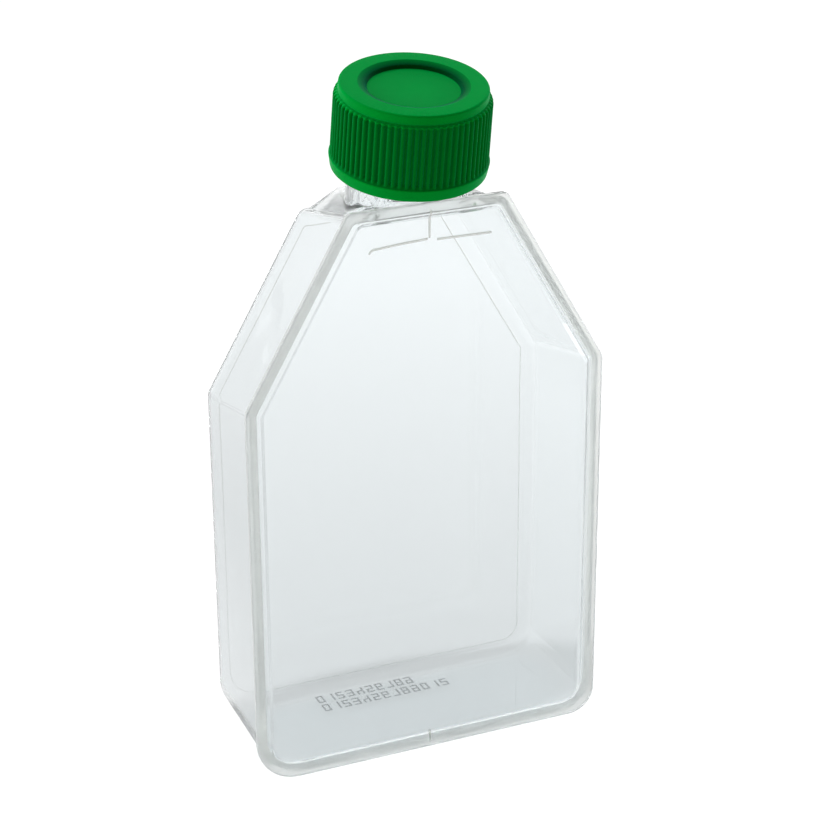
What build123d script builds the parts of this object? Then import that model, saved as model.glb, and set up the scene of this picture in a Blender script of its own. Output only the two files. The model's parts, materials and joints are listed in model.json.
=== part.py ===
from build123d import *
import math
import os

os.makedirs("parts", exist_ok=True)

# A 75 square centimetre cell culture flask. Sizes are in millimetres and angles in degrees.
# X is the width and Z the height. The welded plate faces -Y and the growth surface lies at +Y.
# The origin is the middle of the width and of the depth, at the height of the plate's foot.

# Outline of the whole body, as the front plate shows it
body_width = 85.0
body_depth = 33.0
body_height = 133.2
shoulder_height = 91.5
shoulder_angle = 30.0  # the shoulders' lean from the vertical

# Corners of the front plate, which isn't quite symmetrical at its foot
plate_heel_radius_left = 10.0
plate_heel_radius_right = 6.4
plate_shoulder_radius = 3.5
plate_crown_radius = 2.0

# Front plate: a rim with a sunk panel, and a plug behind it that drops into the tray
plate_thickness = 1.5
panel_sink = 0.8
rim_side = 3.2
rim_end = 2.6
rim_slope = 1.0
panel_radius = 2.2
plug_clearance = 0.3

# Tray: how far its walls stand in from the plate's edge, and how they lean towards the back
plate_overhang = 0.8
wall = 1.5
side_lean = 0.75
shoulder_drop = 7.2
crown_drop = 7.9
tray_heel_radius_left = 10.4
tray_heel_radius_right = 7.6
tray_shoulder_radius = 3.5
tray_crown_radius = 3.5
back_edge_radius = 3.2
corner_margin = 0.1  # how much larger a corner's radius is than that of a rounding across it

# Hip: the facets that lead from the tray's top wall to the neck
hip_front_inset = 1.0  # behind the weld plane
hip_back_inset = 2.8  # in front of the back face
hip_top_front_flare = 0.1  # its half width at the front, more than the neck's radius
hip_top_back_taper = 2.1  # its half width at the back, less than the neck's radius
hip_top_back_reach = 11.7  # behind the neck's foot
hip_top_front_drop = 0.1  # below the body's top
hip_top_back_drop = 2.2
hip_wall = 1.4
hip_sink = 1.2  # how deep its foot is rooted in the tray's walls

# Neck, along its own canted axis
neck_cant = 10.0
neck_foot_depth = 11.0  # behind the weld plane
neck_foot_drop = 2.8  # below the body's top
neck_radius = 13.4
neck_wall = 1.5
neck_length = 24.3
neck_sunk = 6.0
neck_undercut = 0.7  # above the body's top, where the neck starts to overhang the plate
dam_thickness = 1.5
dam_rise = 1.4  # above the body's top
neck_lip_round = 0.4

# Screw thread of neck and cap: one start, right-handed
thread_lead = 3.6
thread_depth = 1.45
thread_root_width = 1.9
thread_crest_width = 0.8
thread_clearance = 0.35
thread_sink = 0.25
thread_rest_lift = 0.3  # how far the tightened cap's ridge sits above the middle of the gap
neck_thread_drop = 12.8  # from the neck's mouth down to the thread's start
neck_thread_turns = 2.25

# Cap
cap_length = 19.3
cap_wall = 1.15
cap_top_wall = 1.2
cap_ring_height = 2.6
cap_ring_step = 1.05  # how far the ring stands out of the wall
cap_ring_taper = 0.46
cap_lip_step = 0.29  # how far the lip stands in from the wall
cap_lip_height = 2.1
cap_groove_depth = 0.2
cap_foot_round = 0.4
cap_ring_round = 0.35
cap_lip_round = 0.5
cap_recess_round = 0.6
cap_ceiling_round = 0.5
cap_mouth_chamfer = 0.5
cap_recess_margin = 4.06  # from the lip's edge in to the recess
cap_recess_slope = 2.05
cap_recess_depth = 1.25
cap_thread_rise = 2.0  # from the cap's foot up to its thread's start
cap_thread_turns = 2.0
rib_count = 72
rib_width = 0.85
rib_height = 0.8
rib_draft = 0.12  # how much lower the ribs stand at the top
rib_edge_bevel = 0.25

# Sealing disc in the cap
liner_thickness = 0.35
liner_clearance = 0.1
liner_side_gap = 0.6

# How far a cutter stands out of the solid that it hollows
overrun = 1.0

# Worked out from the sizes above
half_width = body_width / 2
front_y = -body_depth / 2
back_y = body_depth / 2
weld_y = front_y + plate_thickness
slope = math.radians(shoulder_angle)
cant = math.radians(neck_cant)
inside_edge_radius = back_edge_radius - wall
least_corner_radius = inside_edge_radius + corner_margin
neck_foot_y = weld_y + neck_foot_depth
neck_plane = Plane(
    origin=(0, neck_foot_y, body_height - neck_foot_drop),
    x_dir=(1, 0, 0),
    z_dir=(0, -math.sin(cant), math.cos(cant)),
)
neck_thread_start = neck_length - neck_thread_drop
cap_inner_radius = neck_radius + thread_depth + thread_clearance
cap_root_radius = cap_inner_radius + cap_wall
cap_ceiling = neck_length + liner_thickness + 2 * liner_clearance
cap_end = cap_ceiling + cap_top_wall + cap_recess_depth
cap_start = cap_end - cap_length
# Corner radii in the order of an outline's corners
plate_radii = [
    plate_heel_radius_left,
    plate_heel_radius_right,
    plate_shoulder_radius,
    plate_crown_radius,
    plate_crown_radius,
    plate_shoulder_radius,
]
tray_radii = [
    tray_heel_radius_left,
    tray_heel_radius_right,
    tray_shoulder_radius,
    tray_crown_radius,
    tray_crown_radius,
    tray_shoulder_radius,
]


def outline(half, foot, shoulder, top, side=0.0, end=0.0):
    """Six corners (x, z) of a flask outline, anticlockwise from the left heel as the plate shows it.

    The outline is drawn in by side from its sides and shoulders, and by end from its foot and top.
    """
    corner = shoulder - side * math.tan(slope / 2)
    crown = top - end
    crown_half = half - side / math.cos(slope) - (crown - shoulder) * math.tan(slope)
    return [
        (-half + side, foot + end),
        (half - side, foot + end),
        (half - side, corner),
        (crown_half, crown),
        (-crown_half, crown),
        (-half + side, corner),
    ]


def plate_outline(side=0.0, end=0.0):
    return outline(half_width, 0.0, shoulder_height, body_height, side, end)


def tray_outline(y, side=0.0, end=0.0):
    """The tray's outline at depth y: its walls lean inwards from the weld plane to the back."""
    share = (y - weld_y) / (back_y - weld_y)
    at_weld = plate_outline(plate_overhang, plate_overhang)
    half = at_weld[1][0] - side_lean * share
    foot = at_weld[1][1]
    shoulder = at_weld[2][1] - shoulder_drop * share
    top = at_weld[3][1] - crown_drop * share
    return outline(half, foot, shoulder, top, side, end)


def rounded(corners, y, radii):
    """Flat face with the given corners at depth y, each corner rounded by its own radius."""
    plane = Plane(origin=(0, y, 0), x_dir=(1, 0, 0), z_dir=(0, -1, 0))
    face = plane * make_face(Polyline(*corners, close=True))
    for (x, z), radius in zip(corners, radii):
        vertex = face.vertices().sort_by_distance((x, y, z))[0]
        face = fillet(vertex, radius)
    return face


def facets(rings):
    """Closed solid from loops of corners, each loop one flat face."""
    faces = [Face(Wire.make_polygon([Vector(*p) for p in ring], close=True)) for ring in rings]
    return Solid(Shell(faces))


def tapered_block(front_y, front, back_y, back):
    """Solid between two outlines with the same corners, whose sides are all flat."""
    near = [(x, front_y, z) for x, z in front]
    far = [(x, back_y, z) for x, z in back]
    rings = [near, far]
    for i in range(len(near)):
        j = (i + 1) % len(near)
        rings.append([near[i], near[j], far[j], far[i]])
    return facets(rings)


def round_corners(block, front_y, front, back_y, back, radii):
    """Rounds the edges that run through the depth of a tapered block."""
    for (x0, z0), (x1, z1), radius in zip(front, back, radii):
        middle = ((x0 + x1) / 2, (front_y + back_y) / 2, (z0 + z1) / 2)
        edge = block.edges().sort_by_distance(middle)[0]
        block = fillet(edge, radius)
    return block


def drawn_in(radii, amount):
    """Corner radii of an outline that lies inside another by the given amount."""
    return [max(radius - amount, least_corner_radius) for radius in radii]


def make_front_plate():
    """Rim, sunk panel with a sloping step, and the plug that locates the plate in the tray."""
    rim = extrude(rounded(plate_outline(), weld_y, plate_radii), plate_thickness)
    plug_inset = plate_overhang + wall + plug_clearance
    plug_radii = drawn_in(tray_radii, wall + plug_clearance)
    plug = rounded(plate_outline(plug_inset, plug_inset), weld_y, plug_radii)
    plug = extrude(plug, -panel_sink)
    step_radii = [panel_radius] * len(plate_radii)
    step_top = rounded(plate_outline(rim_side, rim_end), front_y, step_radii)
    step_foot = rounded(
        plate_outline(rim_side + rim_slope, rim_end + rim_slope), front_y + panel_sink, step_radii
    )
    return rim + plug - loft([step_top, step_foot], ruled=True)


def crown_height(y, end=0.0):
    """Height of the tray's top wall at depth y."""
    return tray_outline(y, 0.0, end)[3][1]


def hip(inset):
    """Faceted block between the top wall and the neck, drawn in by inset on every side."""
    front_y = weld_y + hip_front_inset + inset
    back_foot_y = back_y - hip_back_inset - inset
    sunk = hip_sink + inset
    front_half = tray_outline(front_y)[3][0] - inset
    back_half = tray_outline(back_foot_y)[3][0] - inset
    front_foot = crown_height(front_y) - sunk
    back_foot = crown_height(back_foot_y) - sunk
    top_front_half = neck_radius + hip_top_front_flare - inset
    top_back_half = neck_radius - hip_top_back_taper - inset
    top_back_y = neck_foot_y + hip_top_back_reach - inset
    top_front = body_height - hip_top_front_drop - inset
    top_back = body_height - hip_top_back_drop - inset
    foot_front = [(-front_half, front_y, front_foot), (front_half, front_y, front_foot)]
    foot_back = [(-back_half, back_foot_y, back_foot), (back_half, back_foot_y, back_foot)]
    top_front = [(-top_front_half, front_y, top_front), (top_front_half, front_y, top_front)]
    top_back = [(-top_back_half, top_back_y, top_back), (top_back_half, top_back_y, top_back)]
    rings = [
        [foot_front[0], foot_front[1], foot_back[1], foot_back[0]],
        [top_front[0], top_front[1], top_back[1], top_back[0]],
        [foot_front[0], foot_front[1], top_front[1], top_front[0]],
        [foot_back[0], foot_back[1], top_back[1], top_back[0]],
    ]
    for i in (0, 1):
        rings.append([foot_front[i], foot_back[i], top_back[i]])
        rings.append([foot_front[i], top_back[i], top_front[i]])
    return facets(rings)


def thread_ridge(root_radius, start, turns, depth, angle=0.0):
    """Helical ridge on the neck's axis, from a starting height and angle.

    Its root is sunk a little into the wall that carries it. A negative depth points it inwards.
    """
    outwards = math.copysign(1, depth)
    sunk_radius = root_radius - outwards * thread_sink
    crest_radius = root_radius + depth
    section = [
        (sunk_radius, -thread_root_width / 2),
        (root_radius, -thread_root_width / 2),
        (crest_radius, -thread_crest_width / 2),
        (crest_radius, thread_crest_width / 2),
        (root_radius, thread_root_width / 2),
        (sunk_radius, thread_root_width / 2),
    ]
    path = Helix(pitch=thread_lead, height=thread_lead * turns, radius=root_radius)
    profile = Plane.XZ * make_face(Polyline(*section, close=True))
    ridge = sweep(profile, path=path, is_frenet=True)
    return neck_plane * Pos(0, 0, start) * Rot(0, 0, angle) * ridge


def neck_cylinder(radius, start, end):
    cylinder = Cylinder(radius, end - start, align=(Align.CENTER, Align.CENTER, Align.MIN))
    return neck_plane * Pos(0, 0, start) * cylinder


def front_block(y, height):
    """Big block that fills all that lies in front of depth y and below a height."""
    block = Box(body_width, body_depth, body_height, align=(Align.CENTER, Align.MAX, Align.MAX))
    return Pos(0, y, height) * block


def make_tray():
    """Tray with its hip and canted neck, hollow from the open front to the neck's mouth."""
    front = tray_outline(weld_y)
    back = tray_outline(back_y)
    outside = tapered_block(weld_y, front, back_y, back)
    outside = round_corners(outside, weld_y, front, back_y, back, tray_radii)
    back_face = outside.faces().sort_by(Axis.Y)[-1]
    outside = fillet(back_face.edges(), back_edge_radius)

    mouth_y = weld_y - overrun
    floor_y = back_y - wall
    mouth = tray_outline(mouth_y, wall, wall)
    floor = tray_outline(floor_y, wall, wall)
    inside = tapered_block(mouth_y, mouth, floor_y, floor)
    inside = round_corners(inside, mouth_y, mouth, floor_y, floor, drawn_in(tray_radii, wall))
    floor_face = inside.faces().sort_by(Axis.Y)[-1]
    inside = fillet(floor_face.edges(), inside_edge_radius)

    neck = neck_cylinder(neck_radius, -neck_sunk, neck_length)
    neck = fillet(neck.faces().sort_by(Axis.Z)[-1].edges(), neck_lip_round)
    neck -= front_block(weld_y, body_height + neck_undercut)
    bore = neck_cylinder(neck_radius - neck_wall, -neck_sunk - overrun, neck_length + overrun)
    bore -= front_block(weld_y + dam_thickness, body_height + dam_rise)

    tray = outside + hip(0) + neck
    tray -= inside
    tray -= hip(hip_wall)
    tray -= bore
    return tray + thread_ridge(neck_radius, neck_thread_start, neck_thread_turns, thread_depth)


def cap_profile():
    """Half section (r, s) of the cap without its ribs and thread, around the neck's axis."""
    ring_top = cap_start + cap_ring_height
    ring_radius = cap_root_radius + cap_ring_step
    ring_foot_radius = ring_radius - cap_ring_taper
    lip_foot = cap_end - cap_lip_height
    lip_radius = cap_root_radius - cap_lip_step
    groove_radius = lip_radius - cap_groove_depth
    recess_radius = lip_radius - cap_recess_margin
    floor_radius = recess_radius - cap_recess_slope
    half_section = make_face(
        Polyline(
            (cap_inner_radius + cap_mouth_chamfer, cap_start),
            (ring_foot_radius, cap_start),
            (ring_radius, ring_top),
            (cap_root_radius, ring_top + cap_ring_step),
            (cap_root_radius, lip_foot - cap_groove_depth * 2),
            (groove_radius, lip_foot - cap_groove_depth),
            (groove_radius, lip_foot),
            (lip_radius, lip_foot + cap_groove_depth),
            (lip_radius, cap_end),
            (recess_radius, cap_end),
            (floor_radius, cap_end - cap_recess_depth),
            (0, cap_end - cap_recess_depth),
            (0, cap_ceiling),
            (cap_inner_radius, cap_ceiling),
            (cap_inner_radius, cap_start + cap_mouth_chamfer),
            close=True,
        )
    )
    rounds = {
        (ring_foot_radius, cap_start): cap_foot_round,
        (ring_radius, ring_top): cap_ring_round,
        (lip_radius, cap_end): cap_lip_round,
        (recess_radius, cap_end): cap_recess_round,
        (floor_radius, cap_end - cap_recess_depth): cap_recess_round,
        (cap_inner_radius, cap_ceiling): cap_ceiling_round,
    }
    for (r, s), radius in rounds.items():
        vertex = half_section.vertices().sort_by_distance((r, s, 0))[0]
        half_section = fillet(vertex, radius)
    return half_section


def make_rib():
    """One grip rib of the cap, at +X. It stands on the ring and slopes away at the top."""
    foot = cap_start + cap_ring_height - rib_edge_bevel
    top = cap_end - cap_lip_height - cap_groove_depth
    inside = cap_root_radius - cap_groove_depth - rib_edge_bevel
    crest = cap_root_radius + rib_height
    crest_top = crest - rib_draft
    shoulder = top - (crest_top - cap_root_radius) - rib_edge_bevel
    side = make_face(
        Polyline(
            (inside, foot),
            (crest, foot),
            (crest_top, shoulder),
            (cap_root_radius, top),
            (inside, top),
            close=True,
        )
    )
    rib = extrude(Plane.XZ * side, rib_width / 2, both=True)
    edges = rib.edges().filter_by(lambda edge: edge.length > (top - foot) / 2)
    long_edges = edges.group_by(lambda edge: edge.center().X)[-1]
    return chamfer(long_edges, rib_edge_bevel)


def make_cap():
    """Ribbed screw cap, drawn upright and then set on the neck's axis."""
    shell = revolve(Plane.XZ * cap_profile(), Axis.Z)
    rib = make_rib()
    ribs = [Rot(0, 0, 360 * i / rib_count) * rib for i in range(rib_count)]
    thread_start = cap_start + cap_thread_rise
    gap_middle = neck_thread_start + thread_lead / 2
    angle = 360 * (thread_start - gap_middle - thread_rest_lift) / thread_lead
    thread = thread_ridge(cap_inner_radius, thread_start, cap_thread_turns, -thread_depth, angle)
    return neck_plane * (shell + ribs) + thread


def make_liner():
    """Disc between the neck's mouth and the cap's ceiling."""
    start = neck_length + liner_clearance
    return neck_cylinder(cap_inner_radius - liner_side_gap, start, start + liner_thickness)


export_step(make_tray(), "parts/flask_tray.step")
export_step(make_front_plate(), "parts/front_plate.step")
export_step(make_cap(), "parts/cap.step")
export_step(make_liner(), "parts/cap_liner.step")
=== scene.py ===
import json
import math
import bmesh
import bpy
import numpy as np
from mathutils import Matrix, Vector


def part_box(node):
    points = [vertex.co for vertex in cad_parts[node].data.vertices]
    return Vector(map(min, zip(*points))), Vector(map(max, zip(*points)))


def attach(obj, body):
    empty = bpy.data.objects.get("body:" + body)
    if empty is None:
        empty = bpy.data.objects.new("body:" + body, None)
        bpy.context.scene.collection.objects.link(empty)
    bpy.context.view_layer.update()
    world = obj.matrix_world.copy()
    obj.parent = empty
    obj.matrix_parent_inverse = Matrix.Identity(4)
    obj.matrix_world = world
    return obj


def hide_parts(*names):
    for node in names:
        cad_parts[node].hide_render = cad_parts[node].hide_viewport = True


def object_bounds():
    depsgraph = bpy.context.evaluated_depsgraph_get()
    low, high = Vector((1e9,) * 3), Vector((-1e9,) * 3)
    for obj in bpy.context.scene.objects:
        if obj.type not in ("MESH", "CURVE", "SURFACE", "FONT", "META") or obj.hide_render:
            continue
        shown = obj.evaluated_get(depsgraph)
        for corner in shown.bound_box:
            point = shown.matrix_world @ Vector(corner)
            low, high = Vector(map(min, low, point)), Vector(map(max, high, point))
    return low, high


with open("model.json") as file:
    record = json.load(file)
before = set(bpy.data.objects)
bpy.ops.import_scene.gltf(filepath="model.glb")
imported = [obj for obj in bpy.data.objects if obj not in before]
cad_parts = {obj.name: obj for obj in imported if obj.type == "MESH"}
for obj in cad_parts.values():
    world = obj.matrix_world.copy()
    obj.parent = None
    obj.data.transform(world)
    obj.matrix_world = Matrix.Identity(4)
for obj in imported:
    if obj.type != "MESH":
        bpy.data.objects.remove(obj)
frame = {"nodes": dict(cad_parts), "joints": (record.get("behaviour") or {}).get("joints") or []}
cad_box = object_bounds()
mm = 0.001


# ---- Tray -----------------------------------------------------------------------------
# The deep half of the flask with its hip and its canted, plain neck, moulded in one shot.
# It is crystal polystyrene from a polished tool: clear, hard and glossy, with a faint grey
# cast that only shows where the sight runs a long way through a wall or an edge.

def linear(hex_colour):
    """Linear RGBA of an sRGB hex colour: each channel is undone from the sRGB curve."""
    channels = np.array([int(hex_colour[i:i + 2], 16) for i in (1, 3, 5)]) / 255
    low = channels / 12.92
    high = ((channels + 0.055) / 1.055) ** 2.4
    return (*np.where(channels <= 0.04045, low, high), 1.0)


def add_node(tree, kind, properties=None, inputs=None):
    """Adds one node, sets its properties, and gives each named input a value or a link."""
    node = tree.nodes.new(kind)
    for name, value in (properties or {}).items():
        setattr(node, name, value)
    for key, value in (inputs or {}).items():
        if isinstance(value, bpy.types.NodeSocket):
            tree.links.new(value, node.inputs[key])
        else:
            node.inputs[key].default_value = value
    return node


def empty_material(name):
    """A material with an empty node tree."""
    material = bpy.data.materials.new(name)
    material.use_nodes = True
    material.node_tree.nodes.clear()
    return material


def clear_polystyrene(name, tint, absorbed, density):
    """Clear polystyrene: smooth glass-like shader, hazed in patches and waved by the mould's flow.

    The tint acts at each surface and the absorption along the path through the wall. Where
    the weld's heat has reached, the plastic is milky and scatters a part of the light.
    """
    flow_size = 14 * mm
    haze_size = 6 * mm
    scuff_size = 0.5 * mm
    material = empty_material(name)
    tree = material.node_tree
    place = add_node(tree, "ShaderNodeTexCoord").outputs["Object"]
    flow = add_node(tree, "ShaderNodeTexNoise", None, {
        "Vector": place, "Scale": 1 / flow_size, "Detail": 1.0, "Roughness": 0.4,
    })
    haze = add_node(tree, "ShaderNodeTexNoise", None, {
        "Vector": place, "Scale": 1 / haze_size, "Detail": 4.0, "Roughness": 0.6,
    })
    scuffs = add_node(tree, "ShaderNodeTexNoise", None, {
        "Vector": place, "Scale": 1 / scuff_size, "Detail": 2.0, "Roughness": 0.7,
    })
    worn = add_node(tree, "ShaderNodeMath", {"operation": "MULTIPLY"}, {
        0: haze.outputs["Fac"], 1: scuffs.outputs["Fac"],
    })
    roughness = add_node(tree, "ShaderNodeMapRange", None, {
        "Value": worn.outputs[0], "From Min": 0.2, "From Max": 0.45, "To Min": 0.0, "To Max": 0.05,
    })
    wave = add_node(tree, "ShaderNodeBump", None, {
        "Height": flow.outputs["Fac"], "Strength": 0.25, "Distance": 0.25 * mm,
    })
    weld = add_node(tree, "ShaderNodeAttribute", {"attribute_name": "weld_haze"})
    colour = add_node(tree, "ShaderNodeMix", {"data_type": "RGBA"}, {
        "Factor": weld.outputs["Fac"], 6: linear(tint), 7: linear("#FCFDFA"),
    })
    cleared = add_node(tree, "ShaderNodeMapRange", None, {
        "Value": weld.outputs["Fac"], "To Min": 0.95, "To Max": 0.72,
    })
    plastic = add_node(tree, "ShaderNodeBsdfPrincipled", None, {
        "Base Color": colour.outputs[2], "Roughness": roughness.outputs[0], "IOR": 1.59,
        "Transmission Weight": cleared.outputs[0], "Normal": wave.outputs[0],
    })
    rays = add_node(tree, "ShaderNodeLightPath")
    passed = add_node(tree, "ShaderNodeBsdfTransparent", None, {"Color": linear(tint)})
    seen = add_node(tree, "ShaderNodeMixShader", None, {
        "Fac": rays.outputs["Is Shadow Ray"], 1: plastic.outputs[0], 2: passed.outputs[0],
    })
    inside = add_node(tree, "ShaderNodeVolumeAbsorption", None, {
        "Color": linear(absorbed), "Density": density,
    })
    add_node(tree, "ShaderNodeOutputMaterial", None, {
        "Surface": seen.outputs[0], "Volume": inside.outputs[0],
    })
    return material


def merged_copy(name, node):
    """A CAD node's mesh as its own object, with the corners that its triangles share merged."""
    mesh = frame["nodes"][node].data.copy()
    mesh.name = name
    mesh.materials.clear()
    piece = bpy.data.objects.new(name, mesh)
    bpy.context.scene.collection.objects.link(piece)
    weld = piece.modifiers.new("Merge corners", "WELD")
    weld.merge_threshold = 0.0005 * mm
    depsgraph = bpy.context.evaluated_depsgraph_get()
    merged = bpy.data.meshes.new_from_object(piece.evaluated_get(depsgraph))
    piece.modifiers.clear()
    piece.data = merged
    merged.name = name
    return piece


def finish_mesh(piece, material, crease_angle):
    """Smooth shading with a crease at each sharp edge, and normals that follow the big faces."""
    piece.data.materials.clear()
    piece.data.materials.append(material)
    piece.data.shade_smooth()
    piece.data.set_sharp_from_angle(angle=math.radians(crease_angle))
    weighted = piece.modifiers.new("Face weighted normals", "WEIGHTED_NORMAL")
    weighted.keep_sharp = True
    weighted.weight = 80


def set_haze(piece, most, reach, fade):
    """Stores how milky each point is: most up to a reach behind the weld plane, then fading.

    The walls are first cut across where the fading starts and ends, so that it stops there.
    The neck stands out over the weld and stays clear.
    """
    cut = bmesh.new()
    cut.from_mesh(piece.data)
    for behind in (reach, reach + fade):
        bmesh.ops.bisect_plane(
            cut, geom=cut.verts[:] + cut.edges[:] + cut.faces[:],
            plane_co=(0, weld_plane + behind, 0), plane_no=(0, 1, 0),
        )
    cut.to_mesh(piece.data)
    cut.free()
    points = np.empty(len(piece.data.vertices) * 3, np.float32)
    piece.data.vertices.foreach_get("co", points)
    behind, height = points[1::3] - weld_plane, points[2::3]
    haze = most * np.clip((reach + fade - behind) / fade, 0, 1)
    haze = np.where((height > neck_foot) | (behind < -0.1 * mm), 0, haze).astype(np.float32)
    piece.data.attributes.new("weld_haze", "FLOAT", "POINT").data.foreach_set("value", haze)


flange_thickness = 1.5 * mm
most_haze = 0.15
haze_reach = 0.1 * mm
haze_fade = 0.4 * mm
plate_low, plate_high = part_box("front_plate")
weld_plane = plate_low.y + flange_thickness
neck_foot = plate_high.z
tray_material = clear_polystyrene("Crystal polystyrene, moulded tray", "#FAFDFE", "#C6BFA6", 3.0)
tray = merged_copy("tray", "flask_tray")
set_haze(tray, most_haze, haze_reach, haze_fade)
finish_mesh(tray, tray_material, 28)
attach(tray, "flask")
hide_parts("flask_tray")


# ---- Front plate ----------------------------------------------------------------------
# The flat lid of the flask: a flange with a raised rim and a sunk window, and a plug on its
# back that drops into the tray. It is moulded in the same clear polystyrene and welded to the
# tray's edge all the way round, so a hair of a gap shows between them as a pale line.

def solid(name, points, faces):
    """A mesh object from points (n, 3) and a list of faces."""
    mesh = bpy.data.meshes.new(name)
    mesh.from_pydata(points, [], faces)
    mesh.validate()
    mesh.update()
    piece = bpy.data.objects.new(name, mesh)
    bpy.context.scene.collection.objects.link(piece)
    return piece


def rounded_corners(points, radii, steps, closed):
    """A line whose corners are arcs: each leaves its corner at radius / tan(half the angle).

    The arc runs from one tangent point to the other by turning its spoke evenly about the
    centre, which lies on the corner's bisector at radius / sin(half the angle).
    """
    points = np.asarray(points, float)
    radii = np.asarray(radii, float)[:, None]
    to_last = np.roll(points, 1, 0) - points
    to_next = np.roll(points, -1, 0) - points
    u = to_last / np.linalg.norm(to_last, axis=1, keepdims=True)
    v = to_next / np.linalg.norm(to_next, axis=1, keepdims=True)
    half = np.arccos(np.clip((u * v).sum(1, keepdims=True), -1, 1)) / 2
    bisector = u + v
    bisector /= np.maximum(np.linalg.norm(bisector, axis=1, keepdims=True), 1e-9)
    centre = points + bisector * radii / np.sin(half)
    first = points + u * radii / np.tan(half) - centre
    last = points + v * radii / np.tan(half) - centre
    turn = (np.pi - 2 * half)[:, None]
    share = np.linspace(0, 1, steps)[None, :, None]
    spoke = np.sin((1 - share) * turn) * first[:, None] + np.sin(share * turn) * last[:, None]
    arcs = centre[:, None] + spoke / np.sin(turn)
    if not closed:
        return np.concatenate([points[:1], arcs[1:-1].reshape(-1, 2), points[-1:]])
    return arcs.reshape(-1, 2)


def ring_faces(rows, columns):
    """Quads between neighbouring rows of a grid whose columns close on themselves."""
    row, column = np.meshgrid(np.arange(rows - 1), np.arange(columns), indexing="ij")
    beside = (column + 1) % columns
    corners = [row * columns + column, row * columns + beside]
    corners += [(row + 1) * columns + beside, (row + 1) * columns + column]
    return np.stack(corners, -1).reshape(-1, 4)


shoulder_height = 91.5 * mm
shoulder_slope = math.radians(30)
weld_gap = 0.02 * mm
flange_back = plate_low.y + flange_thickness - weld_gap
plug_back = plate_high.y
plug_inset = 2.6 * mm
panel_sink = 0.8 * mm
rim_side = 3.2 * mm
rim_end = 2.6 * mm
rim_slope = 1.0 * mm
edge_round = 0.35 * mm
step_round = 0.15 * mm
corner_steps = 13
flange_radii = np.array([10.0, 6.4, 3.5, 2.0, 2.0, 3.5]) * mm
plug_radii = np.array([8.6, 5.8, 1.8, 1.8, 1.8, 1.8]) * mm
panel_radii = np.full(6, 2.2) * mm


def flask_outline(half, foot, shoulder, top, side, end, radii):
    """The flask's outline (x, z) drawn in by side from its sides and shoulders and by end from
    its foot and top, with arcs at its six corners, anticlockwise from the left heel.
    """
    corner = shoulder - side * math.tan(shoulder_slope / 2)
    lean = math.tan(shoulder_slope)
    crown = top - end
    crown_half = half - side / math.cos(shoulder_slope) - (crown - shoulder) * lean
    corners = [(side - half, foot + end), (half - side, foot + end), (half - side, corner)]
    corners += [(crown_half, crown), (-crown_half, crown), (side - half, corner)]
    return rounded_corners(corners, radii, corner_steps, closed=True)


def plate_ring(y, side, end, radii):
    """One loop of the plate at depth y."""
    line = flask_outline(plate_high.x, plate_low.z, shoulder_height, plate_high.z, side, end, radii)
    return np.column_stack([line[:, 0], np.full(len(line), y), line[:, 1]])


quarter = np.linspace(0, np.pi / 2, 5)
rings = [
    plate_ring(plug_back, plug_inset, plug_inset, plug_radii),
    plate_ring(flange_back, plug_inset, plug_inset, plug_radii),
]
ring_haze = [0.1, 1.0] + 5 * [1.0] + 5 * [0.25]
for turn in quarter:
    inset = edge_round * (1 - math.sin(turn))
    y = flange_back - edge_round * (1 - math.cos(turn))
    rings.append(plate_ring(y, inset, inset, flange_radii - inset))
for turn in quarter:
    inset = edge_round * (1 - math.cos(turn))
    y = plate_low.y + edge_round * (1 - math.sin(turn))
    rings.append(plate_ring(y, inset, inset, flange_radii - inset))
step_section = rounded_corners(
    [(-rim_slope, 0), (0, 0), (rim_slope, panel_sink), (2 * rim_slope, panel_sink)],
    [step_round, step_round, step_round, step_round], 5, closed=False,
)[1:-1]
for inset, depth in step_section:
    radii = np.maximum(panel_radii - inset * 0.4, step_round)
    rings.append(plate_ring(plate_low.y + depth, rim_side + inset, rim_end + inset, radii))
    ring_haze.append(0.0)
columns = len(rings[0])
plate_points = np.concatenate(rings)
plate_faces = ring_faces(len(rings), columns).tolist()
plate_faces.append(list(range(columns))[::-1])
plate_faces.append(list(range(len(plate_points) - columns, len(plate_points))))
plate = solid("front_window", plate_points, plate_faces)
plate_haze = np.repeat(ring_haze, columns).astype(np.float32)
plate.data.attributes.new("weld_haze", "FLOAT", "POINT").data.foreach_set("value", plate_haze)
plate_material = clear_polystyrene("Crystal polystyrene, welded plate", "#FAFDFE", "#C6BFA6", 3.0)
finish_mesh(plate, plate_material, 40)
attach(plate, "flask")
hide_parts("front_plate")


# ---- Moulded marks --------------------------------------------------------------------
# Fine raised lines on the plate, cut into its mould: a level mark like a gull's wings with a
# stem under the top rim, and a short centre line on the foot of the rim. The cut isn't
# polished, so the lines are frosted and read as thin grey strokes on the clear plastic.

mark_width = 0.55 * mm
mark_height = 0.10 * mm
mark_gap = 0.01 * mm


def plate_face(z):
    """The plate's outer face over the height: the rim's plane, a straight slope, the panel's."""
    down = np.clip((plate_high.z - rim_end - z) / rim_slope, 0, 1)
    up = np.clip((z - plate_low.z - rim_end) / rim_slope, 0, 1)
    return plate_low.y + panel_sink * np.minimum(down, up)


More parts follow.
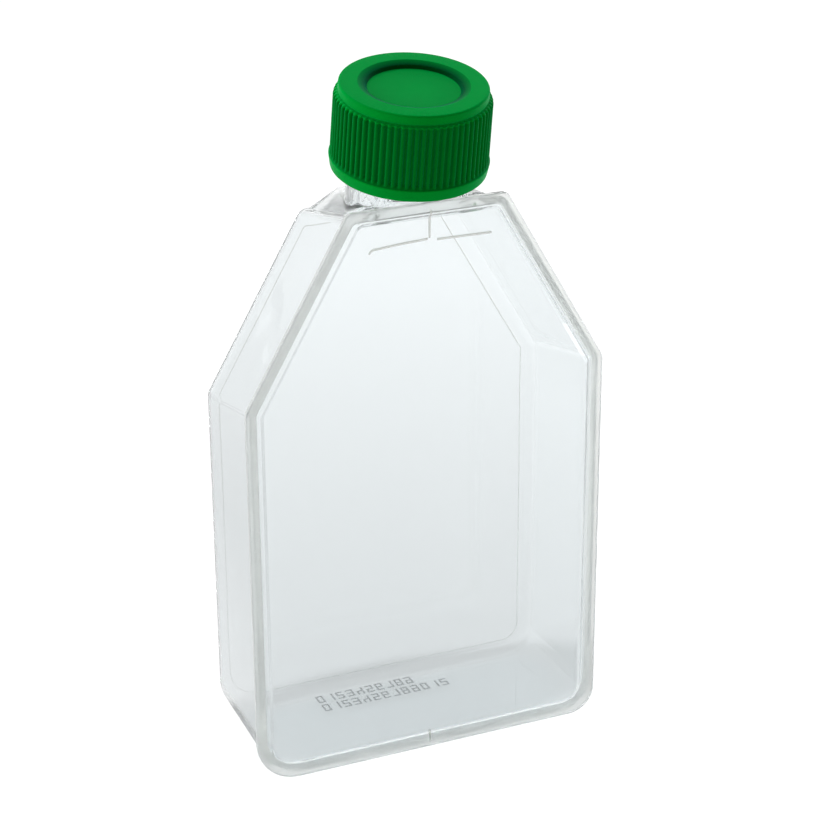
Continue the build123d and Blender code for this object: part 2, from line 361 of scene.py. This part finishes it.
def bead(line, face_at, width, height):
    """Points and faces of a half-round bead along a line (x, z) on a face that looks forwards.

    The line is resampled evenly, and face_at gives the face's depth over the height. At each
    step the section is half an ellipse on a flat foot, and it shrinks like a quarter circle
    over the last half width at both ends.
    """
    lengths = np.concatenate([[0], np.cumsum(np.linalg.norm(np.diff(line, axis=0), axis=1))])
    end = width / 2
    near = end * (1 - np.cos(np.linspace(0.15, np.pi / 2, 5)))
    middle_steps = np.linspace(end, lengths[-1] - end, max(int(lengths[-1] / (0.5 * mm)), 2))
    along = np.concatenate([near[:-1], middle_steps, (lengths[-1] - near[:-1])[::-1]])
    x = np.interp(along, lengths, line[:, 0])
    z = np.interp(along, lengths, line[:, 1])
    way = np.gradient(np.column_stack([x, z]), along, axis=0)
    way /= np.linalg.norm(way, axis=1, keepdims=True)
    left = np.clip(np.minimum(along, lengths[-1] - along) / end, 0, 1)
    size = np.sqrt(1 - (1 - left) ** 2)[:, None]
    angle = np.linspace(0, np.pi, 9)[None, :]
    across = size * width / 2 * np.cos(angle)
    out = size * height * np.sin(angle)
    ring = np.stack([
        x[:, None] + across * way[:, 1:],
        face_at(z)[:, None] - mark_gap - out,
        z[:, None] - across * way[:, :1],
    ], -1)
    rows, section = ring.shape[:2]
    faces = ring_faces(rows, section).tolist()
    faces += [list(range(section))[::-1], list(range((rows - 1) * section, rows * section))]
    return ring.reshape(-1, 3), faces


def joined(name, parts):
    """One mesh object from several (points, faces) pairs."""
    starts = np.cumsum([0] + [len(points) for points, _ in parts])
    faces = [
        [int(start + i) for i in face]
        for start, (_, part) in zip(starts, parts) for face in part
    ]
    return solid(name, np.concatenate([points for points, _ in parts]), faces)


def frosted_polystyrene():
    """Polystyrene with a rough cut: light passes but scatters, and the grain varies it."""
    grain_size = 0.2 * mm
    material = empty_material("Crystal polystyrene, frosted cut")
    tree = material.node_tree
    place = add_node(tree, "ShaderNodeTexCoord").outputs["Object"]
    grain = add_node(tree, "ShaderNodeTexNoise", None, {
        "Vector": place, "Scale": 1 / grain_size, "Detail": 2.0,
    })
    roughness = add_node(tree, "ShaderNodeMapRange", None, {
        "Value": grain.outputs["Fac"], "To Min": 0.35, "To Max": 0.6,
    })
    plastic = add_node(tree, "ShaderNodeBsdfPrincipled", None, {
        "Base Color": linear("#EEF0EA"), "Roughness": roughness.outputs[0], "IOR": 1.59,
        "Transmission Weight": 0.85,
    })
    add_node(tree, "ShaderNodeOutputMaterial", None, {"Surface": plastic.outputs[0]})
    return material


mark_lines = [
    [(0.4, 131.6), (0.4, 125.1)],
    [(0.1, 125.0), (-6.5, 124.7), (-13.0, 124.2), (-13.6, 123.3)],
    [(2.1, 124.6), (15.0, 124.4)],
    [(0.0, 1.3), (0.0, 4.1)],
]
marks = joined("level_mark", [
    bead(np.array(line) * mm, plate_face, mark_width, mark_height) for line in mark_lines
])
finish_mesh(marks, frosted_polystyrene(), 60)
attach(marks, "flask")


# ---- Contour line ---------------------------------------------------------------------
# A hair-fine raised line round the flat of the tray's inner back face, where the blocks of the
# mould's core meet. It is the tray's own clear polystyrene.

contour_width = 0.22 * mm
contour_height = 0.05 * mm
tray_low, tray_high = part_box("flask_tray")
side_lean = 0.75 * mm
shoulder_drop = 7.2 * mm
crown_drop = 7.9 * mm
plate_overhang = 0.8 * mm
wall = 1.5 * mm
contour_side = 4.1 * mm
contour_end = 4.6 * mm
inner_back = -plate_low.y - wall
contour_radii = np.array([6.6, 4.0, 0.4, 0.4, 0.4, 0.4]) * mm


def back_face(z):
    """The tray's inner back face is flat and upright."""
    return np.full_like(z, inner_back)


contour = flask_outline(
    tray_high.x - side_lean,
    tray_low.z,
    shoulder_height - plate_overhang * math.tan(shoulder_slope / 2) - shoulder_drop,
    plate_high.z - plate_overhang - crown_drop,
    contour_side,
    contour_end,
    contour_radii,
)
contour = np.concatenate([contour, contour[:1]])
contour_line = joined("contour_line", [bead(contour, back_face, contour_width, contour_height)])
finish_mesh(contour_line, tray_material, 60)
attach(contour_line, "flask")


# ---- Printed digits -------------------------------------------------------------------
# Two rows of small grey dots on the underside of the foot, where an ink jet marks such ware.
# They spell nothing but plain counting digits. Each dot is a thin dried disc of ink.

dot_pitch = 0.45 * mm
dot_radius = 0.26 * mm
dot_thickness = 0.02 * mm
digit_pitch = 2.55 * mm
printed_rows = [(-17.5 * mm, 13.2 * mm, "0123456789"), (-17.5 * mm, 9.0 * mm, "0123456789012")]
print_top = tray_low.z - 0.01 * mm
strokes = {
    "a": np.s_[6, :], "b": np.s_[3:, 3], "c": np.s_[:4, 3], "d": np.s_[0, :],
    "e": np.s_[:4, 0], "f": np.s_[3:, 0], "g": np.s_[3, :],
}
digit_strokes = [
    "abcdef", "bc", "abged", "abgcd", "fgbc", "afgcd", "afgedc", "abc", "abcdefg", "abcdfg",
]


def digit_dots(digit):
    """Where a digit's dots lie (x, y): its strokes on a grid 4 dots wide and 7 high.

    The digits are read from below with the plate on top, so their height runs towards -y.
    """
    grid = np.zeros((7, 4), bool)
    for stroke in digit_strokes[int(digit)]:
        grid[strokes[stroke]] = True
    return np.argwhere(grid)[:, ::-1] * [dot_pitch, -dot_pitch]


centres = np.concatenate([
    digit_dots(digit) + [start + place * digit_pitch, depth]
    for start, depth, digits in printed_rows for place, digit in enumerate(digits)
])
rim_angle = np.arange(10) * 2 * np.pi / 10
rim = dot_radius * np.column_stack([np.cos(rim_angle), np.sin(rim_angle)])
discs = np.zeros((len(centres), 2, 10, 3))
discs[..., :2] = centres[:, None, None] + rim[None, None]
discs[:, 0, :, 2] = print_top - dot_thickness
discs[:, 1, :, 2] = print_top
disc_faces = ring_faces(2, 10).tolist() + [list(range(10))[::-1], list(range(10, 20))]
ink_faces = [[20 * disc + i for i in face] for disc in range(len(centres)) for face in disc_faces]


def ink_material():
    """Dried grey ink: matt, a little blotchy from dot to dot."""
    blotch_size = 1.5 * mm
    material = empty_material("Grey marking ink")
    tree = material.node_tree
    place = add_node(tree, "ShaderNodeTexCoord").outputs["Object"]
    blotches = add_node(tree, "ShaderNodeTexNoise", None, {
        "Vector": place, "Scale": 1 / blotch_size, "Detail": 2.0,
    })
    colour = add_node(tree, "ShaderNodeMix", {"data_type": "RGBA"}, {
        "Factor": blotches.outputs["Fac"], 6: linear("#0A0D0E"), 7: linear("#20272A"),
    })
    ink = add_node(tree, "ShaderNodeBsdfPrincipled", None, {
        "Base Color": colour.outputs[2], "Roughness": 0.7, "IOR": 1.5,
    })
    add_node(tree, "ShaderNodeOutputMaterial", None, {"Surface": ink.outputs[0]})
    return material


digits = solid("printed_digits", discs.reshape(-1, 3), ink_faces)
finish_mesh(digits, ink_material(), 30)
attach(digits, "flask")


# ---- Liner ----------------------------------------------------------------------------
# The sealing disc under the cap's ceiling, die-cut from closed-cell polyethylene foam. It is
# matt and white, with the fine cell structure of the cut sheet on its faces.

def foam_material():
    """White foam: small round cells that dent the surface and shade it a little."""
    cell_size = 0.35 * mm
    material = empty_material("Closed-cell polyethylene foam")
    tree = material.node_tree
    place = add_node(tree, "ShaderNodeTexCoord").outputs["Object"]
    cells = add_node(tree, "ShaderNodeTexVoronoi", {"feature": "SMOOTH_F1"}, {
        "Vector": place, "Scale": 1 / cell_size,
    })
    shade = add_node(tree, "ShaderNodeMix", {"data_type": "RGBA"}, {
        "Factor": cells.outputs["Distance"], 6: linear("#EDEDE6"), 7: linear("#D5D5CC"),
    })
    dents = add_node(tree, "ShaderNodeBump", None, {
        "Height": cells.outputs["Distance"], "Strength": 0.4, "Distance": 0.05 * mm,
    })
    foam = add_node(tree, "ShaderNodeBsdfPrincipled", None, {
        "Base Color": shade.outputs[2], "Roughness": 0.75, "IOR": 1.5,
        "Normal": dents.outputs[0],
    })
    add_node(tree, "ShaderNodeOutputMaterial", None, {"Surface": foam.outputs[0]})
    return material


liner = merged_copy("sealing_disc", "cap_liner")
finish_mesh(liner, foam_material(), 35)
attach(liner, "seal")
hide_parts("cap_liner")


# ---- Cap ------------------------------------------------------------------------------
# The screw cap: a ribbed skirt on a flared foot ring, a groove, a lip and a shallow round
# recess in the top. It is injection-moulded from green high-density polyethylene, so its
# edges are soft, its skin is satin, and light sinks a little way into it.

turn_joint = next(joint for joint in frame["joints"] if joint["name"] == "cap_turn")
axis_foot = np.array(turn_joint["pos_m"])
axis_up = np.array(turn_joint["axis"])
axis_side = np.array([1.0, 0.0, 0.0])
axis_depth = np.cross(axis_up, axis_side)


def around_axis(radius, height, angle):
    """Points at a radius and angle around the neck's axis, at a height along it."""
    across = np.cos(angle)[..., None] * axis_side + np.sin(angle)[..., None] * axis_depth
    return axis_foot + radius[..., None] * across + height[..., None] * axis_up


cap_foot = 8.0 * mm
cap_top = 27.3 * mm
inner_radius = 15.2 * mm
ceiling = 24.85 * mm
root_radius = 16.35 * mm
ring_radius = 17.38 * mm
ring_foot_radius = 16.94 * mm
ring_top = 10.6 * mm
lip_radius = 16.06 * mm
lip_foot = 25.2 * mm
groove = 0.2 * mm
recess_radius = 12.0 * mm
recess_floor_radius = 9.95 * mm
recess_floor = 26.05 * mm
recess_edge = 0.5 * mm
recess_steep = 0.7 * mm
recess_shade_radii = np.array([9.85, 10.0, 11.7, 12.1]) * mm
rib_count = 72
rib_crest = 0.78 * mm
rib_lean = 0.12 * mm
rib_foot = 10.4 * mm
rib_end = 24.95 * mm
rib_run_out = 1.15 * mm
thread_lead = 3.6 * mm
thread_depth = 1.42 * mm
thread_root_width = 1.9 * mm
thread_crest_width = 0.8 * mm
thread_turns = 2.0
thread_start = 10.0 * mm
thread_run_out = 0.06
neck_thread_start = 11.5 * mm
thread_rest_lift = 0.3 * mm

# Columns stand closer together on the ribs' flanks than on their crests and in the gaps.
rib_steps = np.array([-2.5, -1.72, -1.46, -1.05, 0.0, 1.05, 1.46, 1.72]) * 72 / rib_count
rib_shape = np.array([0.0, 0.10, 0.50, 0.84, 1.0, 0.84, 0.50, 0.10])
rib_middles = np.arange(rib_count) * 360 / rib_count
column_angle = np.radians((rib_middles[:, None] + rib_steps).ravel())
column_rib = np.tile(rib_shape, rib_count)

outer_line = rounded_corners(
    [
        (inner_radius + 0.5 * mm, cap_foot),
        (ring_foot_radius, cap_foot),
        (ring_radius, ring_top),
        (root_radius, ring_top + (ring_radius - root_radius)),
        (root_radius, lip_foot - 2 * groove),
        (lip_radius - groove, lip_foot - groove),
        (lip_radius - groove, lip_foot),
        (lip_radius, lip_foot + groove),
        (lip_radius, cap_top),
        (recess_radius, cap_top),
        (recess_floor_radius + recess_edge, recess_floor + recess_steep),
        (recess_floor_radius, recess_floor),
        (0, recess_floor),
    ],
    np.array([0.1, 0.4, 0.35, 0.3, 0.15, 0.08, 0.08, 0.08, 0.5, 0.6, 0.5, 0.15, 0.1]) * mm,
    6,
    closed=False,
)
# Extra rows where the ribs grow out of the wall and run into the ring.
extra_heights = np.concatenate([
    np.linspace(ring_top + 0.1 * mm, ring_top + 1.0 * mm, 8),
    np.linspace(12.2 * mm, 23.2 * mm, 8),
    np.linspace(23.6 * mm, 24.8 * mm, 9),
])


def with_heights(line, heights):
    """The line with added points at the given heights, on its straight run up the wall."""
    start = np.argmax(line[:, 1] >= heights.min()) - 1
    stop = np.argmax(line[:, 1] > heights.max())
    wall = line[start:stop + 1]
    all_heights = np.unique(np.concatenate([wall[:, 1], heights]))
    radius = np.interp(all_heights, wall[:, 1], wall[:, 0])
    return np.concatenate([line[:start], np.column_stack([radius, all_heights]), line[stop + 1:]])


outer_line = with_heights(outer_line, extra_heights)
inner_heights = np.linspace(cap_foot + 0.5 * mm, ceiling - 0.5 * mm, 66)
inner_line = np.column_stack([np.full(len(inner_heights), inner_radius), inner_heights])
ceiling_round = rounded_corners(
    [(inner_radius, ceiling - 2 * mm), (inner_radius, ceiling), (0, ceiling)],
    np.array([0.1, 0.5, 0.1]) * mm, 5, closed=False,
)[1:-1]
inner_line = np.concatenate([inner_line[:-1], ceiling_round])


def grip(height, rib):
    """How far a rib's surface stands out of the wall: full over the wall, and rounded off at
    the top like a quarter ellipse.
    """
    up = np.clip((height - rib_foot) / (rib_end - rib_foot), 0, 1)
    crest = rib_crest - rib_lean * up
    left = np.clip((rib_end - height) / rib_run_out, 0, 1)
    fade = np.sqrt(1 - (1 - left) ** 2)
    return np.where(height > rib_foot, crest * fade * rib, 0)


def inner_thread(height, angle):
    """How far the helical ridge stands in from the inner wall.

    The height above the thread's own line, folded into one lead, gives a flat crest with
    sloping flanks. The ridge fades in and out over a part of a turn at its ends.
    neck_thread_start only sets its phase: the neck itself carries no ridge.
    """
    phase = 2 * math.pi * (thread_start - neck_thread_start - thread_lead / 2 - thread_rest_lift)
    turned = (angle - phase / thread_lead) % (2 * math.pi)
    rise = height - thread_start - thread_lead * turned / (2 * math.pi)
    lap = np.round(rise / thread_lead)
    off = np.abs(rise - lap * thread_lead)
    along = lap + turned / (2 * math.pi)
    flank = (thread_root_width - thread_crest_width) / 2
    ridge = np.clip((thread_root_width / 2 - off) / flank, 0, 1)
    fade_in = np.clip(along / thread_run_out, 0, 1)
    fade_out = np.clip((thread_turns - along) / thread_run_out, 0, 1)
    return thread_depth * ridge * fade_in * fade_out


angle = column_angle[None, :]
outer_height = np.repeat(outer_line[:, 1:], len(column_angle), 1)
outer_radius = np.repeat(outer_line[:, :1], len(column_angle), 1)
on_wall = (outer_height > rib_foot) & (outer_height < rib_end)
ribbed = root_radius + grip(outer_height, column_rib[None, :])
outer_radius = np.where(on_wall, np.maximum(outer_radius, ribbed), outer_radius)
inner_height = np.repeat(inner_line[::-1, 1:], len(column_angle), 1)
inner_radii = np.repeat(inner_line[::-1, :1], len(column_angle), 1)
inner_radii = inner_radii - inner_thread(inner_height, np.broadcast_to(angle, inner_height.shape))
all_radii = np.concatenate([inner_radii[:-1], outer_radius[:-1]])
all_heights = np.concatenate([inner_height[:-1], outer_height[:-1]])
grid = around_axis(all_radii, all_heights, np.broadcast_to(angle, all_radii.shape))
poles = around_axis(np.zeros(2), np.array([ceiling, recess_floor]), np.zeros(2))
cap_points = np.concatenate([grid.reshape(-1, 3), poles])
columns = len(column_angle)
cap_faces = ring_faces(len(all_radii), columns).tolist()
first_pole = len(cap_points) - 2
last_row = (len(all_radii) - 1) * columns
for column in range(columns):
    beside = (column + 1) % columns
    cap_faces.append([first_pole, beside, column])
    cap_faces.append([first_pole + 1, last_row + column, last_row + beside])


# The recess's wall carries painted shade from its foot to its rim, and the ribbed wall a
# little less, a darker green for the shade between the ribs. The rest keeps the satin green.
outer_painted_shade = np.interp(outer_line[:-1, 0], recess_shade_radii, [0, 1, 0.9, 0])
on_ribs = (outer_line[:-1, 1] > rib_foot + 0.3 * mm) & (outer_line[:-1, 1] < rib_end - 0.4 * mm)
outer_painted_shade = np.where(on_ribs, 0.45, outer_painted_shade)
row_painted_shade = np.concatenate([np.zeros(len(inner_line) - 1), outer_painted_shade])
point_painted_shade = np.concatenate([np.repeat(row_painted_shade, columns), np.zeros(2)])


def cap_material():
    """Green polyethylene: fine satin grain, slight flow marks, soft light inside.

    Where painted shade is set, in the recess's wall and less on the ribbed wall, the green is
    deeper.
    """
    grain_size = 0.25 * mm
    flow_size = 5 * mm
    material = empty_material("Green polyethylene, moulded satin")
    tree = material.node_tree
    place = add_node(tree, "ShaderNodeTexCoord").outputs["Object"]
    grain = add_node(tree, "ShaderNodeTexNoise", None, {
        "Vector": place, "Scale": 1 / grain_size, "Detail": 3.0, "Roughness": 0.6,
    })
    flow = add_node(tree, "ShaderNodeTexNoise", None, {
        "Vector": place, "Scale": 1 / flow_size, "Detail": 2.0, "Distortion": 1.5,
    })
    satin = add_node(tree, "ShaderNodeMix", {"data_type": "RGBA"}, {
        "Factor": flow.outputs["Fac"], 6: linear("#008A1E"), 7: linear("#009225"),
    })
    painted_shade = add_node(tree, "ShaderNodeAttribute", {"attribute_name": "painted_shade"})
    # Painted shade: the satin green is mixed towards a dark green by each point's painted-shade
    # amount.
    colour = add_node(tree, "ShaderNodeMix", {"data_type": "RGBA"}, {
        "Factor": painted_shade.outputs["Fac"], 6: satin.outputs[2], 7: linear("#003600"),
    })
    roughness = add_node(tree, "ShaderNodeMapRange", None, {
        "Value": grain.outputs["Fac"], "To Min": 0.32, "To Max": 0.46,
    })
    bump = add_node(tree, "ShaderNodeBump", None, {
        "Height": grain.outputs["Fac"], "Strength": 0.25, "Distance": 0.03 * mm,
    })
    skin = add_node(tree, "ShaderNodeBsdfPrincipled", None, {
        "Base Color": colour.outputs[2], "Roughness": roughness.outputs[0], "IOR": 1.54,
        "Specular IOR Level": 0.01, "Specular Tint": linear("#00E08A"),
        "Sheen Weight": 0.2, "Sheen Roughness": 0.6, "Sheen Tint": linear("#00F0C0"),
        "Normal": bump.outputs[0], "Subsurface Weight": 0.15,
        "Subsurface Radius": (0.3, 1.0, 0.5), "Subsurface Scale": 0.8 * mm,
    })
    add_node(tree, "ShaderNodeOutputMaterial", None, {"Surface": skin.outputs[0]})
    return material


cap = solid("screw_cap", cap_points, cap_faces)
# Each point carries its amount of painted shade.
cap.data.attributes.new("painted_shade", "FLOAT", "POINT").data.foreach_set("value", point_painted_shade)
finish_mesh(cap, cap_material(), 50)
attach(cap, "screw_cap")
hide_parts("cap")


# ---- Stage ----------------------------------------------------------------------------
# A pale floor under soft studio light, with the camera at three quarters from the front.
# Behind everything the world is plain white to the eye and to whatever glass and gloss show.

box_low, box_high = cad_box
middle = (np.array(box_low) + np.array(box_high)) / 2


def seen_rays(tree):
    """One for a ray from the eye, a mirror or a clear wall, and nought for light that is cast."""
    rays = add_node(tree, "ShaderNodeLightPath")
    direct = add_node(tree, "ShaderNodeMath", {"operation": "MAXIMUM"}, {
        0: rays.outputs["Is Camera Ray"], 1: rays.outputs["Is Glossy Ray"],
    })
    return add_node(tree, "ShaderNodeMath", {"operation": "MAXIMUM"}, {
        0: direct.outputs[0], 1: rays.outputs["Is Transmission Ray"],
    }).outputs[0]


def floor_material():
    """White floor that still shows a shadow: most of its white is its own, the rest is lit.

    In gloss and through a clear wall its glow carries painted shade: greyer towards the object,
    as a sheet lit from afar is, dimmer on the left, where no lamp reaches, and a painted shadow,
    greyest right under the flask, which keeps the light off it. Distances are measured from the
    flask's middle, and for the painted shadow under it in the flask's own oblong.
    """
    near_grey = 0.55
    white = 0.86
    reach = 0.31
    under_grey = 0.60
    foot_middle = (0.0, 6 * mm, 0.0)
    oblong = (0.33, 1.0, 1.0)
    bounced = 0.50
    material = empty_material("Pale studio floor")
    material.cycles.emission_sampling = "NONE"
    tree = material.node_tree
    place = add_node(tree, "ShaderNodeTexCoord").outputs["Object"]
    away = add_node(tree, "ShaderNodeVectorMath", {"operation": "LENGTH"}, {0: place})
    # Painted shade: the glow greys towards the object.
    far = add_node(tree, "ShaderNodeMapRange", {"interpolation_type": "LINEAR"}, {
        "Value": away.outputs["Value"], "From Max": reach, "To Min": near_grey, "To Max": white,
    })
    from_foot = add_node(tree, "ShaderNodeVectorMath", {"operation": "SUBTRACT"}, {
        0: place, 1: foot_middle,
    })
    squeezed = add_node(tree, "ShaderNodeVectorMath", {"operation": "MULTIPLY"}, {
        0: from_foot.outputs[0], 1: oblong,
    })
    round_foot = add_node(tree, "ShaderNodeVectorMath", {"operation": "LENGTH"}, {
        0: squeezed.outputs[0],
    })
    # Painted shadow: the glow is greyest in an oblong under the flask.
    shade = add_node(tree, "ShaderNodeMapRange", {"interpolation_type": "SMOOTHSTEP"}, {
        "Value": round_foot.outputs["Value"], "From Min": 17 * mm, "From Max": 23 * mm,
        "To Min": under_grey, "To Max": 1.0,
    })
    sideways = add_node(tree, "ShaderNodeSeparateXYZ", None, {0: place}).outputs["X"]
    # Painted shade: the glow dims on the floor's left side.
    dim_left = add_node(tree, "ShaderNodeMapRange", None, {
        "Value": sideways, "From Min": -75 * mm, "From Max": -45 * mm, "To Min": 0.5, "To Max": 1.0,
    })
    shaded = add_node(tree, "ShaderNodeMath", {"operation": "MULTIPLY"}, {
        0: far.outputs[0], 1: shade.outputs[0],
    })
    through = add_node(tree, "ShaderNodeMath", {"operation": "MULTIPLY"}, {
        0: shaded.outputs[0], 1: dim_left.outputs[0],
    })
    rays = add_node(tree, "ShaderNodeLightPath")
    own = add_node(tree, "ShaderNodeMix", {"data_type": "FLOAT"}, {
        "Factor": rays.outputs["Is Camera Ray"], 2: through.outputs[0], 3: white,
    })
    shown = add_node(tree, "ShaderNodeMix", {"data_type": "FLOAT"}, {
        "Factor": seen_rays(tree), 2: bounced, 3: own.outputs[0],
    })
    glow = add_node(tree, "ShaderNodeEmission", None, {"Strength": shown.outputs[0]})
    paint = add_node(tree, "ShaderNodeBsdfDiffuse", None, {"Color": linear("#7C7C7C")})
    both = add_node(tree, "ShaderNodeAddShader", None, {0: glow.outputs[0], 1: paint.outputs[0]})
    add_node(tree, "ShaderNodeOutputMaterial", None, {"Surface": both.outputs[0]})
    return material


floor_half = 3.0
floor_z = box_low.z - 0.05 * mm
floor = solid(
    "floor",
    [(-floor_half, -floor_half, floor_z), (floor_half, -floor_half, floor_z),
     (floor_half, floor_half, floor_z), (-floor_half, floor_half, floor_z)],
    [[0, 1, 2, 3]],
)
floor.data.materials.append(floor_material())

world = bpy.data.worlds.new("White studio")
world.use_nodes = True
tree = world.node_tree
tree.nodes.clear()
towards = add_node(tree, "ShaderNodeTexCoord").outputs["Generated"]
split = add_node(tree, "ShaderNodeSeparateXYZ", None, {0: towards})
# Gloss shows a white room behind the object, and a dimmer one in front of it and on its left.
dim_front = add_node(tree, "ShaderNodeMapRange", None, {
    "Value": split.outputs["Y"], "From Min": -1.0, "From Max": 0.2, "To Min": 0.5, "To Max": 1.0,
})
dim_left = add_node(tree, "ShaderNodeMapRange", None, {
    "Value": split.outputs["X"], "From Min": -0.5, "From Max": 0.3, "To Min": 0.1, "To Max": 1.0,
})
room = add_node(tree, "ShaderNodeMath", {"operation": "MULTIPLY"}, {
    0: dim_front.outputs[0], 1: dim_left.outputs[0],
})
rays = add_node(tree, "ShaderNodeLightPath")
in_gloss = add_node(tree, "ShaderNodeMath", {"operation": "MULTIPLY"}, {
    0: rays.outputs["Is Glossy Ray"], 1: room.outputs[0],
})
seen = add_node(tree, "ShaderNodeMath", {"operation": "MAXIMUM"}, {
    0: rays.outputs["Is Camera Ray"], 1: rays.outputs["Is Transmission Ray"],
})
shown = add_node(tree, "ShaderNodeMath", {"operation": "MAXIMUM"}, {
    0: in_gloss.outputs[0], 1: seen.outputs[0],
})
strength = add_node(tree, "ShaderNodeMapRange", None, {
    "Value": shown.outputs[0], "To Min": 0.12, "To Max": 1.0,
})
sky = add_node(tree, "ShaderNodeBackground", None, {
    "Color": (1, 1, 1, 1), "Strength": strength.outputs[0],
})
add_node(tree, "ShaderNodeOutputWorld", None, {"Surface": sky.outputs[0]})
bpy.context.scene.world = world


def face(thing, target):
    """Turns a lamp or camera so that its -Z looks at the target."""
    away = Vector(thing.location) - Vector(target)
    thing.rotation_euler = away.to_track_quat("Z", "Y").to_euler()


def add_lamp(name, kind, place, energy, size):
    """A lamp at a place relative to the object's middle, facing it. Size is an area lamp's side
    in metres, or the angle that a distant scrim fills. Neither gloss nor clear walls show it.
    """
    data = bpy.data.lights.new(name, kind)
    data.energy = energy
    if kind == "SUN":
        data.angle = size
    else:
        data.size = size
    lamp = bpy.data.objects.new(name, data)
    bpy.context.scene.collection.objects.link(lamp)
    lamp.location = middle + np.array(place)
    lamp.visible_glossy = False
    lamp.visible_transmission = False
    face(lamp, middle)


add_lamp("overhead_scrim", "SUN", (-0.1, 0.8, 1.0), 2.5, math.radians(40))
add_lamp("right_softbox", "AREA", (0.6, 0.25, 0.1), 3.6, 0.5)
add_lamp("left_softbox", "AREA", (-0.6, 0.25, 0.1), 3.4, 0.5)
add_lamp("front_fill", "SUN", (-0.4, -1.0, 0.1), 0.7, math.radians(60))

azimuth = math.radians(-23.18)
elevation = math.radians(23.48)
roll = math.radians(-0.32)
distance = 541.0 * mm
aim = middle + np.array([2.93, 3.43, -2.15]) * mm
back = np.array([
    math.sin(azimuth) * math.cos(elevation),
    -math.cos(azimuth) * math.cos(elevation),
    math.sin(elevation),
])
right = np.cross(-back, [0, 0, 1])
right /= np.linalg.norm(right)
up = np.cross(right, -back)
turned_right = math.cos(roll) * right + math.sin(roll) * up
turned_up = -math.sin(roll) * right + math.cos(roll) * up
camera_data = bpy.data.cameras.new("camera")
camera_data.lens = 103.8
camera_data.sensor_width = 36.0
camera_data.clip_start = 0.01
camera = bpy.data.objects.new("camera", camera_data)
bpy.context.scene.collection.objects.link(camera)
placing = np.eye(4)
placing[:3, 0] = turned_right
placing[:3, 1] = turned_up
placing[:3, 2] = back
placing[:3, 3] = aim + back * distance
camera.matrix_world = Matrix(placing)
bpy.context.scene.camera = camera
bpy.context.scene.view_settings.view_transform = "Standard"
bpy.context.scene.cycles.max_bounces = 40
bpy.context.scene.cycles.transmission_bounces = 40
bpy.context.scene.cycles.glossy_bounces = 40
bpy.context.scene.cycles.transparent_max_bounces = 24
